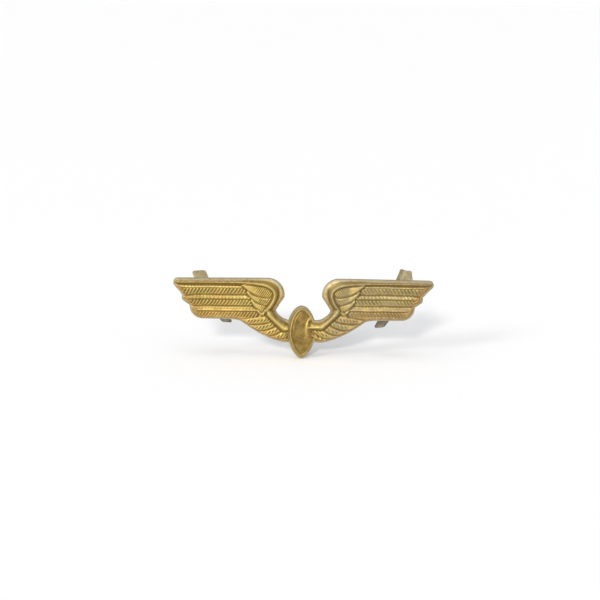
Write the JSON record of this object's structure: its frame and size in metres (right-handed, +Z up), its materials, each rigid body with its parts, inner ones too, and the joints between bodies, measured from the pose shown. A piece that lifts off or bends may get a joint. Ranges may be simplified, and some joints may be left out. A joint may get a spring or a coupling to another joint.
{
  "type": "winged wheel badge",
  "caption": "Struck brass winged wheel badge with relief feathers, held to cloth by bendable split prongs soldered behind each wing",
  "frame": {"origin": "the middle of the back, on the flat rim that lies on the cloth", "axes": "X along the wingspan, Y out of the back towards the wearer, Z up as worn; the struck face looks along -Y"},
  "size_m": [0.06, 0.0113, 0.0203],
  "materials": {
    "gilt_brass": "worn gilt on struck brass, bright on the high points and dull brown in the grooves",
    "prong_brass": "oxidised brass strip with fine draw lines",
    "solder": "dull grey tin solder, slightly lumpy"
  },
  "bodies": {
    "badge": {"badge_shell": "gilt_brass", "left_solder_joint": "solder", "right_solder_joint": "solder", "left_fastener_crown": "prong_brass", "right_fastener_crown": "prong_brass"},
    "left_upper_prong": {"left_upper_prong": "prong_brass"},
    "left_lower_prong": {"left_lower_prong": "prong_brass"},
    "right_upper_prong": {"right_upper_prong": "prong_brass"},
    "right_lower_prong": {"right_lower_prong": "prong_brass"}
  },
  "joints": [
    {"name": "left_upper_bend", "type": "hinge", "parent": "badge", "child": "left_upper_prong", "pos_m": [-0.02198, -0.00015, 0.00505], "axis": [0.8746, 0, 0.4848], "range_deg": [-39, 33]},
    {"name": "left_lower_bend", "type": "hinge", "parent": "badge", "child": "left_lower_prong", "pos_m": [-0.02082, -0.00015, 0.00295], "axis": [-0.8746, 0, -0.4848], "range_deg": [-39, 33]},
    {"name": "right_upper_bend", "type": "hinge", "parent": "badge", "child": "right_upper_prong", "pos_m": [0.02193, -0.00015, 0.00508], "axis": [0.8988, 0, -0.4384], "range_deg": [-44, 28]},
    {"name": "right_lower_bend", "type": "hinge", "parent": "badge", "child": "right_lower_prong", "pos_m": [0.02087, -0.00015, 0.00292], "axis": [-0.8988, 0, 0.4384], "range_deg": [-44, 28]}
  ]
}
